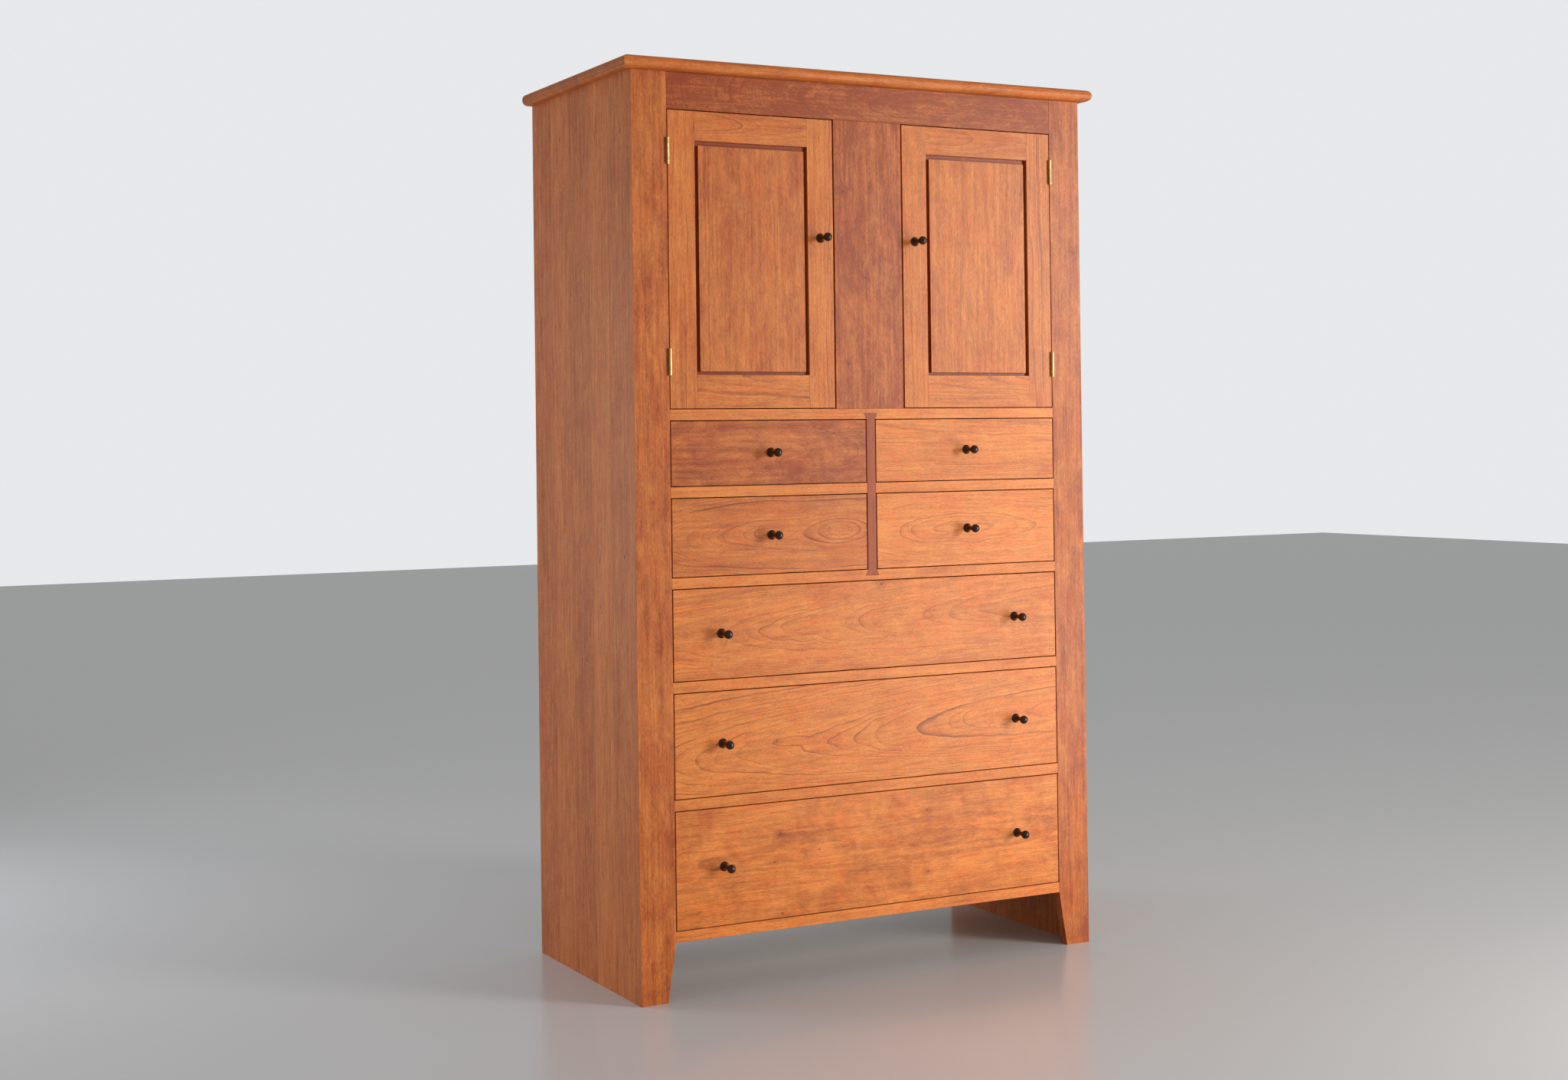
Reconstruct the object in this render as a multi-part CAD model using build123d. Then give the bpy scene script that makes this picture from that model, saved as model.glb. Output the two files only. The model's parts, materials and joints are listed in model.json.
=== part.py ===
from build123d import *
import math
import os

# Shaker-style armoire in solid cherry: two inset panelled doors over two rows of paired drawers and
# three full-width drawers.  Millimetres, +Z up, front towards -Y.  The origin is on the floor, at the
# middle of the overall width and of the overall depth, knobs included.

# Case
CASE_W = 1041.4
CASE_D = 512.0
LEG_H = 113.0
SIDE_T = 21.0
FRAME_T = 21.0
STILE_W = 74.6
FOOT_W = 56.7
RAIL_H = 21.0
RAIL_D = 45.0
TOP_RAIL_H = 72.0
MULLION_W = 157.0
DIVIDER_W = 20.0
DOOR_OPENING_H = 579.5

# Drawer openings: each row is this much taller than the row above it
FIRST_ROW_H = 128.6
ROW_STEP = 25.4

# Top board
TOP_T = 24.0
TOP_OVERHANG = 22.5
NOSE_R = 11.5

# Gaps around the inset doors and drawers
GAP_TOP = 1.8
GAP_BOTTOM = 1.7
GAP_SIDE = 2.0
GAP_MULLION = 3.2

# Doors
DOOR_T = 21.0
DOOR_STILE_W = 57.0
DOOR_TOP_RAIL_H = 57.0
DOOR_BOTTOM_RAIL_H = 65.5
FIELD_SET = 0.5
FIELD_MARGIN_SIDE = 7.7
FIELD_MARGIN_TOP = 9.3
FIELD_MARGIN_BOTTOM = 6.0
PANEL_SHOULDER = 8.0
TONGUE_T = 6.0
TONGUE_L = 8.0
GROOVE_L = 10.0

# Butt hinges
HINGE_L = 50.8
LEAF_T = 1.3
LEAF_W = 17.0
LEAF_GAP = 0.3
BARREL_R = 3.0
PIN_R = 1.3
PIN_CLEARANCE = 0.05
PIN_PROUD = 3.2
PIN_CAP_T = 0.6
KNUCKLES = 5
KNUCKLE_GAP = 0.3
UPPER_HINGE_DROP = 56.0
LOWER_HINGE_RISE = 66.0
SCREW_HEAD_R = 2.7
SCREW_SHANK_R = 1.4
SCREW_L = 14.0
SCREW_CLEARANCE = 0.04

# Drawers
FRONT_T = 20.0
BOX_T = 12.7
DRAWER_D = 470.0
DRAWER_BOTTOM_T = 6.35
BOTTOM_RISE = 10.0
BOTTOM_GROOVE = 5.0
SLIDE_CLEARANCE = 0.3
BOX_TOP_DROP = 3.5
TAIL_L = 13.0
TAIL_PITCH = 36.0
TAIL_SLOPE = math.tan(math.radians(8))
BACK_HOUSING = 4.0

# Clearance in a housing or at the end of a loose piece
FIT = 0.1

# Knobs
KNOB_L = 38.5
KNOB_FLANGE_R = 9.5
KNOB_FLANGE_T = 1.6
KNOB_WAIST_R = 4.4
KNOB_HEAD_R = 8.7
KNOB_TENON_R = 4.75
KNOB_TENON_L = 14.0
KNOB_BORE_CLEARANCE = 0.05
KNOB_INSET = 105.0
DOOR_KNOB_DROP = 239.0

# Joinery and inner case
TENON_T = 8.0
TENON_L = 22.0
TENON_SHOULDER = 3.0
DOVETAIL_L = 11.5
DOVETAIL_W = 29.0
HOUSING = 5.0
RABBET = 9.5
BACK_T = 12.0
BACK_BOARDS = 7
BACK_LAP = 9.5
BACK_BOARD_GAP = 0.6
RUNNER_REACH = 30.0
CENTRE_RUNNER_W = 80.0
BACK_RAIL_D = 45.0
GUIDE_T = 24.0
GUIDE_H = 15.0
FLOOR_T = 18.0
SHELF_T = 18.0
SHELF_RISE = 285.0
SHELF_SET = 24.0
CLEAT_T = 18.0
CLEAT_H = 30.0
STOP_W = 40.0
STOP_T = 12.0
STOP_H = 7.0
STOP_REACH = 14.0
DOOR_STOP_L = 60.0
STOP_CLEARANCE = 0.5

# Places worked out from the sizes above
FACE = -(CASE_D - KNOB_L) / 2
BACK = FACE + CASE_D
SIDE_X = CASE_W / 2
INNER_X = SIDE_X - SIDE_T
OPEN_X = SIDE_X - STILE_W
FRAME_BACK = FACE + FRAME_T
RAIL_BACK = FACE + RAIL_D
BACK_IN = BACK - BACK_T
WEB_BACK = BACK_IN - BACK_RAIL_D
ROW_H = [FIRST_ROW_H + ROW_STEP * row for row in range(5)]


def row_floor(row):
    """Height of the bottom of the drawer opening of a row; row 0 is the top row."""
    return LEG_H + RAIL_H + sum(ROW_H[row + 1:]) + RAIL_H * (len(ROW_H) - 1 - row)


DOOR_Z0 = row_floor(0) + ROW_H[0] + RAIL_H
DOOR_Z1 = DOOR_Z0 + DOOR_OPENING_H
CASE_H = DOOR_Z1 + TOP_RAIL_H
TENON_Y0 = FACE + (FRAME_T - TENON_T) / 2
TENON_Y1 = TENON_Y0 + TENON_T
HINGE_X = OPEN_X - GAP_SIDE / 2
HINGE_Y = FACE - PIN_PROUD
HINGE_Z = [DOOR_Z0 + LOWER_HINGE_RISE, DOOR_Z1 - UPPER_HINGE_DROP - HINGE_L]
SHELF_Z = DOOR_Z0 + SHELF_RISE


def block(x0, x1, y0, y1, z0, z1):
    """A board with square edges between two corners."""
    size = (abs(x1 - x0), abs(y1 - y0), abs(z1 - z0))
    centre = ((x0 + x1) / 2, (y0 + y1) / 2, (z0 + z1) / 2)
    return Pos(*centre) * Box(*size)


def prism_xz(points, y0, y1):
    """A board whose outline is drawn on its face, from y0 to y1."""
    face = Plane((0, y1, 0), x_dir=(1, 0, 0), z_dir=(0, -1, 0)) * Polygon(*points, align=None)
    return extrude(face, amount=y1 - y0, dir=(0, -1, 0))


def prism_yz(points, x0, x1):
    """A board whose outline is drawn on its side, from x0 to x1."""
    face = Plane((x0, 0, 0), x_dir=(0, 1, 0), z_dir=(1, 0, 0)) * Polygon(*points, align=None)
    return extrude(face, amount=x1 - x0, dir=(1, 0, 0))


def prism_xy(points, z0, z1):
    """A board whose outline is its cross section, from z0 to z1."""
    face = Pos(0, 0, z0) * Polygon(*points, align=None)
    return extrude(face, amount=z1 - z0, dir=(0, 0, 1))


def cut(body, *tools):
    """The body with every tool taken out of it, as one solid."""
    for tool in tools:
        for solid in tool.solids():
            body = body - solid
    return body


def mirror_x(shape):
    return mirror(shape, about=Plane.YZ)


def group(*shapes):
    """Separate solids kept side by side in one node."""
    solids = []
    for shape in shapes:
        solids.extend(shape.solids())
    return Compound(children=solids)


def save(name, shape):
    solids = shape.solids()
    part = solids[0] if len(solids) == 1 else Compound(children=list(solids))
    part.label = name
    export_step(part, f"parts/{name}.step")


# ---------------------------------------------------------------- face frame


def tenoned_rail(x0, x1, depth, z0, z1):
    """A rail between two uprights, with a stub tenon at each end."""
    rail = block(x0, x1, FACE, FACE + depth, z0, z1)
    tenon_z0 = z0 + TENON_SHOULDER
    tenon_z1 = z1 - TENON_SHOULDER
    return rail + block(x0 - TENON_L, x1 + TENON_L, TENON_Y0, TENON_Y1, tenon_z0, tenon_z1)


def dovetailed_divider():
    """The upright between the paired drawers, flared at both ends and let into the rails."""
    low = row_floor(1)
    high = row_floor(0) + ROW_H[0]
    half = DIVIDER_W / 2
    flare = DOVETAIL_W / 2
    outline = [
        (-flare, low - DOVETAIL_L), (flare, low - DOVETAIL_L), (half, low), (half, high),
        (flare, high + DOVETAIL_L), (-flare, high + DOVETAIL_L), (-half, high), (-half, low),
    ]
    return prism_xz(outline, FACE, RAIL_BACK)


def short_rail():
    """The right-hand rail between the two rows of paired drawers."""
    z0 = row_floor(0) - RAIL_H
    rail = block(DIVIDER_W / 2, OPEN_X, FACE, RAIL_BACK, z0, row_floor(0))
    outer = block(OPEN_X, OPEN_X + TENON_L, TENON_Y0, TENON_Y1, z0 + TENON_SHOULDER,
                  row_floor(0) - TENON_SHOULDER)
    inner = block(DIVIDER_W / 4, DIVIDER_W / 2, TENON_Y0, TENON_Y1, z0 + TENON_SHOULDER,
                  row_floor(0) - TENON_SHOULDER)
    return rail + outer + inner


def mullion():
    """The wide upright between the doors, tenoned into the rails above and below."""
    half = MULLION_W / 2
    inset = half - 2 * TENON_SHOULDER
    post = block(-half, half, FACE, FRAME_BACK, DOOR_Z0, DOOR_Z1)
    foot = RAIL_H - DOVETAIL_L - TENON_SHOULDER / 2
    return post + block(-inset, inset, TENON_Y0, TENON_Y1, DOOR_Z0 - foot, DOOR_Z1 + TENON_L)


def stile_blank():
    """The right-hand stile, mitred to the side; its inner edge tapers below the bottom rail."""
    outline = [
        (SIDE_X - FOOT_W, 0), (SIDE_X, 0), (SIDE_X, CASE_H), (OPEN_X, CASE_H), (OPEN_X, LEG_H),
    ]
    section = [(OPEN_X, FACE), (SIDE_X, FACE), (INNER_X, FRAME_BACK), (OPEN_X, FRAME_BACK)]
    return prism_xz(outline, FACE, FRAME_BACK) & prism_xy(section, 0, CASE_H)


# ---------------------------------------------------------------- case


def back_boards():
    """Upright shiplapped boards, held in the rabbets of the sides."""
    reach = INNER_X + RABBET
    pitch = 2 * reach / BACK_BOARDS
    lap_y = BACK_IN + BACK_T / 2
    boards = []
    for i in range(BACK_BOARDS):
        x0 = -reach + pitch * i
        x1 = x0 + pitch
        left_in = x0 if i == 0 else x0 + BACK_BOARD_GAP
        left_out = x0 if i == 0 else x0 + BACK_LAP + BACK_BOARD_GAP
        right_out = x1 if i == BACK_BOARDS - 1 else x1 + BACK_LAP
        outline = [
            (left_in, BACK_IN), (x1, BACK_IN), (x1, lap_y), (right_out, lap_y),
            (right_out, BACK), (left_out, BACK), (left_out, lap_y), (left_in, lap_y),
        ]
        if i == 0:
            outline = [p for n, p in enumerate(outline) if n not in (6, 7)]
        if i == BACK_BOARDS - 1:
            outline = [p for n, p in enumerate(outline) if n not in (2, 3)]
        boards.append(prism_xy(outline, LEG_H, CASE_H))
    return group(*boards)


def runners():
    """The drawer runners and back rails behind each drawer rail, housed in the sides."""
    pieces = []
    for row in range(5):
        z1 = row_floor(row)
        z0 = z1 - RAIL_H
        side = block(OPEN_X - RUNNER_REACH, INNER_X + HOUSING, RAIL_BACK, WEB_BACK - FIT, z0, z1)
        pieces += [side, mirror_x(side)]
        pieces.append(block(-INNER_X - HOUSING, INNER_X + HOUSING, WEB_BACK, BACK_IN, z0, z1))
        if row < 2:
            half = CENTRE_RUNNER_W / 2
            pieces.append(block(-half, half, RAIL_BACK, WEB_BACK - FIT, z0, z1))
    return group(*pieces)


def guides():
    """Strips glued on the runners, which keep the drawer sides square to the front."""
    pieces = []
    for row in range(5):
        z0 = row_floor(row)
        side = block(OPEN_X, OPEN_X + GUIDE_T, RAIL_BACK, WEB_BACK, z0, z0 + GUIDE_H)
        pieces += [side, mirror_x(side)]
        if row < 2:
            half = DIVIDER_W / 2
            pieces.append(block(-half, half, RAIL_BACK, WEB_BACK, z0, z0 + GUIDE_H))
    return group(*pieces)


def stops():
    """Small blocks behind the doors and the drawer fronts, which set them flush when shut."""
    pieces = []
    for z in (DOOR_Z0 + DOOR_STOP_L, DOOR_Z1 - 2 * DOOR_STOP_L):
        reach = MULLION_W / 2 + STOP_REACH
        y1 = FRAME_BACK + STOP_T
        bar = block(-reach, reach, FRAME_BACK + STOP_CLEARANCE, y1, z, z + DOOR_STOP_L)
        pad_x = MULLION_W / 2 - STOP_REACH
        pieces.append(bar + block(-pad_x, pad_x, FRAME_BACK, y1, z, z + DOOR_STOP_L))
    y0 = FACE + FRONT_T + STOP_CLEARANCE
    for row in range(5):
        places = [-OPEN_X / 2, OPEN_X / 2] if row < 2 else [-OPEN_X + KNOB_INSET, OPEN_X - KNOB_INSET]
        z0 = row_floor(row)
        for x in places:
            pieces.append(block(x - STOP_W / 2, x + STOP_W / 2, y0, y0 + STOP_T, z0, z0 + STOP_H))
    return group(*pieces)


def shelf_cleats():
    y0 = FRAME_BACK + SHELF_SET
    cleat = block(INNER_X - CLEAT_T, INNER_X, y0, BACK_IN, SHELF_Z - CLEAT_H, SHELF_Z)
    return group(cleat, mirror_x(cleat))


def top_cleats():
    """Battens inside the top of the case; the top board is screwed to them from below."""
    front = block(-INNER_X, INNER_X, FRAME_BACK, FRAME_BACK + RAIL_D, CASE_H - RAIL_H, CASE_H)
    rear = block(-INNER_X, INNER_X, BACK_IN - RAIL_D, BACK_IN, CASE_H - RAIL_H, CASE_H)
    return group(front, rear)


def side_panel(housed):
    """The right-hand side: a wide board glued up from narrower ones, mitred to its stile."""
    section = [(SIDE_X, FACE), (SIDE_X, BACK), (INNER_X, BACK), (INNER_X, FRAME_BACK)]
    board = prism_xy(section, 0, CASE_H)
    rabbet = block(INNER_X, INNER_X + RABBET, BACK_IN, BACK, LEG_H, CASE_H)
    return cut(board, rabbet, *housed)


def top_board():
    """The top, rounded over on its front and both ends, and square at the back."""
    reach = SIDE_X + TOP_OVERHANG
    board = block(-reach, reach, FACE - TOP_OVERHANG, BACK, CASE_H, CASE_H + TOP_T)
    nose = []
    for edge in board.edges():
        middle = edge.center()
        level = abs(edge.bounding_box().size.Z) < 1
        if level and middle.Y < BACK - 1:
            nose.append(edge)
    return fillet(nose, NOSE_R)


# ---------------------------------------------------------------- hinges and knobs


def knuckle_spans(z0):
    """The knuckles of a hinge from the bottom up, as pairs of heights."""
    length = (HINGE_L - KNUCKLE_GAP * (KNUCKLES - 1)) / KNUCKLES
    return [(z0 + i * (length + KNUCKLE_GAP), z0 + i * (length + KNUCKLE_GAP) + length)
            for i in range(KNUCKLES)]


def screw(x, y, z, into, clearance=0.0):
    """A countersunk screw along X, whose head is flush at x, or the hole that it sits in."""
    shank_r = SCREW_SHANK_R + clearance
    head_r = SCREW_HEAD_R + clearance
    head = Cone(shank_r, head_r, LEAF_T, align=(Align.CENTER, Align.CENTER, Align.MAX))
    shank = Cylinder(shank_r, SCREW_L, align=(Align.CENTER, Align.CENTER, Align.MAX))
    turn = Rot(0, -90 * into, 0)
    return Pos(x, y, z) * turn * (head + shank)


def hinge_half(z0, on_case):
    """One leaf of a right-hand hinge with its knuckles, and its three screws."""
    into = 1 if on_case else -1
    leaf_x0 = HINGE_X + into * LEAF_GAP / 2
    leaf_x1 = leaf_x0 + into * LEAF_T
    bare_y = HINGE_Y + BARREL_R + 0.5
    half = block(leaf_x0, leaf_x1, bare_y, HINGE_Y + LEAF_W, z0, z0 + HINGE_L)
    mine = knuckle_spans(z0)[0 if on_case else 1::2]
    for low, high in mine:
        tube = Pos(HINGE_X, HINGE_Y, (low + high) / 2) * Cylinder(BARREL_R, high - low)
        half = half + tube + block(leaf_x0, leaf_x1, HINGE_Y, bare_y, low, high)
    bore = Cylinder(PIN_R + PIN_CLEARANCE, HINGE_L * 2)
    half = half - Pos(HINGE_X, HINGE_Y, z0 + HINGE_L / 2) * bore
    screws = []
    holes = []
    for step in (-1, 0, 1):
        y = HINGE_Y + LEAF_W * (0.72 if step else 0.5)
        z = z0 + HINGE_L / 2 + step * HINGE_L * 0.34
        screws.append(screw(leaf_x0, y, z, into))
        holes.append(screw(leaf_x0, y, z, into, SCREW_CLEARANCE))
    return cut(half, *holes), screws


def leaf_mortise(z0, on_case):
    """The shallow recess that a leaf is let into, in the stile or in the door."""
    into = 1 if on_case else -1
    x0 = HINGE_X
    x1 = HINGE_X + into * (LEAF_GAP / 2 + LEAF_T)
    return block(x0, x1, FACE - 1, HINGE_Y + LEAF_W, z0, z0 + HINGE_L)


def hinge_pin(z0):
    """The pin of a right-hand hinge, with a thin cap beyond each end of the barrel."""
    rod = Pos(HINGE_X, HINGE_Y, z0 + HINGE_L / 2) * Cylinder(PIN_R, HINGE_L)
    for z, align in ((z0 + HINGE_L, Align.MIN), (z0, Align.MAX)):
        cap = Cylinder(BARREL_R - 0.3, PIN_CAP_T, align=(Align.CENTER, Align.CENTER, align))
        rod = rod + Pos(HINGE_X, HINGE_Y, z) * cap
    return rod


def knob(x, z):
    """A turned knob: a flange on the wood, a hollow neck, a domed head, and a tenon inside."""
    with BuildPart() as turned:
        with BuildSketch(Plane.XY):
            with BuildLine():
                l1 = Polyline((0, KNOB_TENON_L), (KNOB_TENON_R, KNOB_TENON_L), (KNOB_TENON_R, 0),
                              (KNOB_FLANGE_R, 0), (KNOB_FLANGE_R, -KNOB_FLANGE_T))
                l2 = Spline((KNOB_FLANGE_R, -KNOB_FLANGE_T), (KNOB_WAIST_R + 1.4, -8.0),
                            (KNOB_WAIST_R, -16.0), (KNOB_WAIST_R + 1.7, -23.0),
                            (KNOB_HEAD_R, -31.0), (0, -KNOB_L),
                            tangents=[(-1, -0.6), (-1, 0)])
                Line(l2 @ 1, l1 @ 0)
            make_face()
        revolve(axis=Axis.Y)
    return Pos(x, FACE, z) * turned.part


def knob_bore(x, z):
    radius = KNOB_TENON_R + KNOB_BORE_CLEARANCE
    bore = Cylinder(radius, KNOB_TENON_L, align=(Align.CENTER, Align.CENTER, Align.MIN))
    return Pos(x, FACE, z) * Rot(-90, 0, 0) * bore


# ---------------------------------------------------------------- doors


def door_parts():
    """The right-hand door's nodes by name, hinged on its outer stile."""
    x0 = MULLION_W / 2 + GAP_MULLION
    x1 = OPEN_X - GAP_SIDE
    z0 = DOOR_Z0 + GAP_BOTTOM
    z1 = DOOR_Z1 - GAP_TOP
    back = FACE + DOOR_T
    in_x0 = x0 + DOOR_STILE_W
    in_x1 = x1 - DOOR_STILE_W
    in_z0 = z0 + DOOR_BOTTOM_RAIL_H
    in_z1 = z1 - DOOR_TOP_RAIL_H
    tongue_y0 = FACE + PANEL_SHOULDER
    tongue_y1 = tongue_y0 + TONGUE_T
    groove = block(in_x0 - GROOVE_L, in_x1 + GROOVE_L, tongue_y0, tongue_y1, in_z0 - GROOVE_L,
                   in_z1 + GROOVE_L)
    rails = []
    for low, high, tenon_low, tenon_high in (
        (z0, in_z0, z0 + 2 * TENON_SHOULDER, in_z0 - GROOVE_L - TENON_SHOULDER),
        (in_z1, z1, in_z1 + GROOVE_L + TENON_SHOULDER, z1 - 2 * TENON_SHOULDER),
    ):
        rail = block(in_x0, in_x1, FACE, back, low, high)
        tenon = block(in_x0 - TENON_L, in_x1 + TENON_L, TENON_Y0, TENON_Y1, tenon_low, tenon_high)
        rails.append(cut(rail, groove) + tenon)
    knob_x = x0 + DOOR_STILE_W / 2
    knob_z = DOOR_Z1 - DOOR_KNOB_DROP
    lock_stile = cut(block(x0, in_x0, FACE, back, z0, z1), groove, *rails, knob_bore(knob_x, knob_z))
    mortises = [leaf_mortise(z, False) for z in HINGE_Z]
    hinge_stile = cut(block(in_x1, x1, FACE, back, z0, z1), groove, *rails, *mortises)
    tongue = block(in_x0 - TONGUE_L, in_x1 + TONGUE_L, tongue_y0, tongue_y1, in_z0 - TONGUE_L,
                   in_z1 + TONGUE_L)
    field = block(in_x0 + FIELD_MARGIN_SIDE, in_x1 - FIELD_MARGIN_SIDE, FACE + FIELD_SET, tongue_y1,
                  in_z0 + FIELD_MARGIN_BOTTOM, in_z1 - FIELD_MARGIN_TOP)
    halves = []
    for z in HINGE_Z:
        leaf, screws = hinge_half(z, False)
        halves += [leaf, *screws]
    return {
        "stiles": group(lock_stile, hinge_stile),
        "rails": group(*rails),
        "panel": tongue + field,
        "knob": knob(knob_x, knob_z),
        "hinge_leaves": group(*halves),
    }


# ---------------------------------------------------------------- drawers


def drawer_side(x0, x1, z0, z1):
    """A drawer side with its row of dovetail tails at the front."""
    count = max(2, round((z1 - z0) / TAIL_PITCH))
    pitch = (z1 - z0) / count
    root = FACE + FRONT_T
    tip = root - TAIL_L
    neck = pitch * 0.3
    end = neck + TAIL_L * TAIL_SLOPE
    outline = [(FACE + DRAWER_D, z0), (root, z0)]
    for i in range(count):
        middle = z0 + pitch * (i + 0.5)
        outline += [(root, middle - neck), (tip, middle - end), (tip, middle + end),
                    (root, middle + neck)]
    outline += [(root, z1), (FACE + DRAWER_D, z1)]
    return prism_yz(outline, x0, x1)


def drawer_parts(open_x0, open_x1, row, knob_places):
    """The nodes of the drawer that fills the opening from open_x0 to open_x1."""
    floor = row_floor(row)
    ceiling = floor + ROW_H[row]
    x0 = open_x0 + GAP_SIDE
    x1 = open_x1 - GAP_SIDE
    side_z0 = floor + SLIDE_CLEARANCE
    side_z1 = ceiling - BOX_TOP_DROP
    front = block(x0, x1, FACE, FACE + FRONT_T, floor + GAP_BOTTOM, ceiling - GAP_TOP)
    left = drawer_side(x0, x0 + BOX_T, side_z0, side_z1)
    right = drawer_side(x1 - BOX_T, x1, side_z0, side_z1)
    in_x0 = x0 + BOX_T
    in_x1 = x1 - BOX_T
    bottom_z0 = floor + BOTTOM_RISE
    bottom_z1 = bottom_z0 + DRAWER_BOTTOM_T
    rear = FACE + DRAWER_D
    bottom = block(in_x0 - BOTTOM_GROOVE, in_x1 + BOTTOM_GROOVE, FACE + FRONT_T - BOTTOM_GROOVE,
                   rear, bottom_z0, bottom_z1)
    back_y0 = rear - 2 * BOX_T
    back = block(in_x0 - BACK_HOUSING, in_x1 + BACK_HOUSING, back_y0, rear - BOX_T, bottom_z1,
                 side_z1 - BOX_TOP_DROP)
    housing = block(in_x0 - BACK_HOUSING - FIT, in_x1 + BACK_HOUSING + FIT, back_y0 - FIT,
                    rear - BOX_T + FIT, bottom_z0, side_z1 - BOX_TOP_DROP + FIT)
    z = (floor + ceiling) / 2
    bores = [knob_bore(x, z) for x in knob_places]
    return {
        "front": cut(front, left, right, bottom, *bores),
        "box": group(cut(left, bottom, housing), cut(right, bottom, housing), back),
        "bottom": bottom,
        "knobs": group(*[knob(x, z) for x in knob_places]),
    }


# ---------------------------------------------------------------- assembly


def drawer_list():
    """Each drawer's name with its opening, its row and its knobs."""
    middle = (DIVIDER_W / 2 + OPEN_X) / 2
    listed = []
    for row in range(2):
        listed.append((f"drawer_{row + 1}_left", -OPEN_X, -DIVIDER_W / 2, row, [-middle]))
        listed.append((f"drawer_{row + 1}_right", DIVIDER_W / 2, OPEN_X, row, [middle]))
    far = OPEN_X - KNOB_INSET
    for row in range(2, 5):
        listed.append((f"drawer_{row + 1}", -OPEN_X, OPEN_X, row, [-far, far]))
    return listed


def case_parts():
    """The nodes of the fixed case by name."""
    divider = dovetailed_divider()
    short = short_rail()
    post = mullion()
    door_rail = cut(tenoned_rail(-OPEN_X, OPEN_X, RAIL_D, DOOR_Z0 - RAIL_H, DOOR_Z0), divider, post)
    top_rail = cut(tenoned_rail(-OPEN_X, OPEN_X, FRAME_T, DOOR_Z1, CASE_H), post)
    long_rails = []
    for row in range(1, 5):
        z1 = row_floor(row)
        long_rails.append(tenoned_rail(-OPEN_X, OPEN_X, RAIL_D, z1 - RAIL_H, z1))
    long_rails[0] = cut(long_rails[0], divider)
    mortises = [leaf_mortise(z, True) for z in HINGE_Z]
    stile = cut(stile_blank(), top_rail, door_rail, short, *long_rails, *mortises)
    web = runners()
    cabinet_floor = block(-INNER_X - HOUSING, INNER_X + HOUSING, RAIL_BACK, BACK_IN,
                          DOOR_Z0 - FLOOR_T, DOOR_Z0)
    side = side_panel([web, cabinet_floor])
    shelf = block(-INNER_X + 1, INNER_X - 1, FRAME_BACK + SHELF_SET, BACK_IN, SHELF_Z,
                  SHELF_Z + SHELF_T)
    leaves = []
    for z in HINGE_Z:
        leaf, screws = hinge_half(z, True)
        leaves += [leaf, *screws]
    pins = [hinge_pin(z) for z in HINGE_Z]
    return {
        "side_panel_left": mirror_x(side),
        "side_panel_right": side,
        "stile_left": mirror_x(stile),
        "stile_right": stile,
        "top_rail": top_rail,
        "door_mullion": post,
        "door_rail": door_rail,
        "short_rails": group(mirror_x(short), short),
        "drawer_rails": group(*long_rails[:3]),
        "bottom_rail": long_rails[3],
        "drawer_divider": cut(divider, short, mirror_x(short)),
        "top_board": top_board(),
        "back_boards": back_boards(),
        "cabinet_floor": cabinet_floor,
        "cabinet_shelf": shelf,
        "shelf_cleats": shelf_cleats(),
        "drawer_runners": web,
        "drawer_guides": guides(),
        "top_cleats": top_cleats(),
        "stop_blocks": stops(),
        "hinge_case_leaves": group(*[mirror_x(s) for s in leaves], *leaves),
        "hinge_pins": group(*[mirror_x(s) for s in pins], *pins),
    }


os.makedirs("parts", exist_ok=True)
for name, shape in case_parts().items():
    save(name, shape)
for name, shape in door_parts().items():
    save(f"door_right_{name}", shape)
    save(f"door_left_{name}", group(mirror_x(shape)))
for name, open_x0, open_x1, row, knob_places in drawer_list():
    for part, shape in drawer_parts(open_x0, open_x1, row, knob_places).items():
        save(f"{name}_{part}", shape)
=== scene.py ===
"""A Shaker-style armoire in oiled cherry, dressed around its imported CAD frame."""

import json
import math
import random

import bmesh
import bpy
import numpy as np
from mathutils import Matrix, Vector


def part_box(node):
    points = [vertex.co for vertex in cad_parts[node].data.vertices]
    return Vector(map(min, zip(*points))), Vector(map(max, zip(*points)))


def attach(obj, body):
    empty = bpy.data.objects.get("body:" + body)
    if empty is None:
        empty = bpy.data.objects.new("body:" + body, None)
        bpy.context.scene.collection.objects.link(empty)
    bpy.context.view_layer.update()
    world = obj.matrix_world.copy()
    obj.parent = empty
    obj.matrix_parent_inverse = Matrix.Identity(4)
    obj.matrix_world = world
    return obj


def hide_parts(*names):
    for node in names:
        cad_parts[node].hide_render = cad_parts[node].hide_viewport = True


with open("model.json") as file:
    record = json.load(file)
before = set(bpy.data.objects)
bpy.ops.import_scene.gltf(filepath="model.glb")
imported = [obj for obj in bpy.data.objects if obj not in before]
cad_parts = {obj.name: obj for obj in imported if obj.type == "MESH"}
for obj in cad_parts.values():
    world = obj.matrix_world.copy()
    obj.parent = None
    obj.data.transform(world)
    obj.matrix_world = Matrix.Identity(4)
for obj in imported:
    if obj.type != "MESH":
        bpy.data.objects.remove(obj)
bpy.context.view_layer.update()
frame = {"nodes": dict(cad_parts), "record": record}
scene = bpy.context.scene


# ------------------------------------------------------------------ the room
# The armoire stands on a plain pale floor.  A large soft lamp stands off to its right, level with
# the doors, and the rest of the light is an even pale surround.

face_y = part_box("stile_left")[0].y

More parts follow.
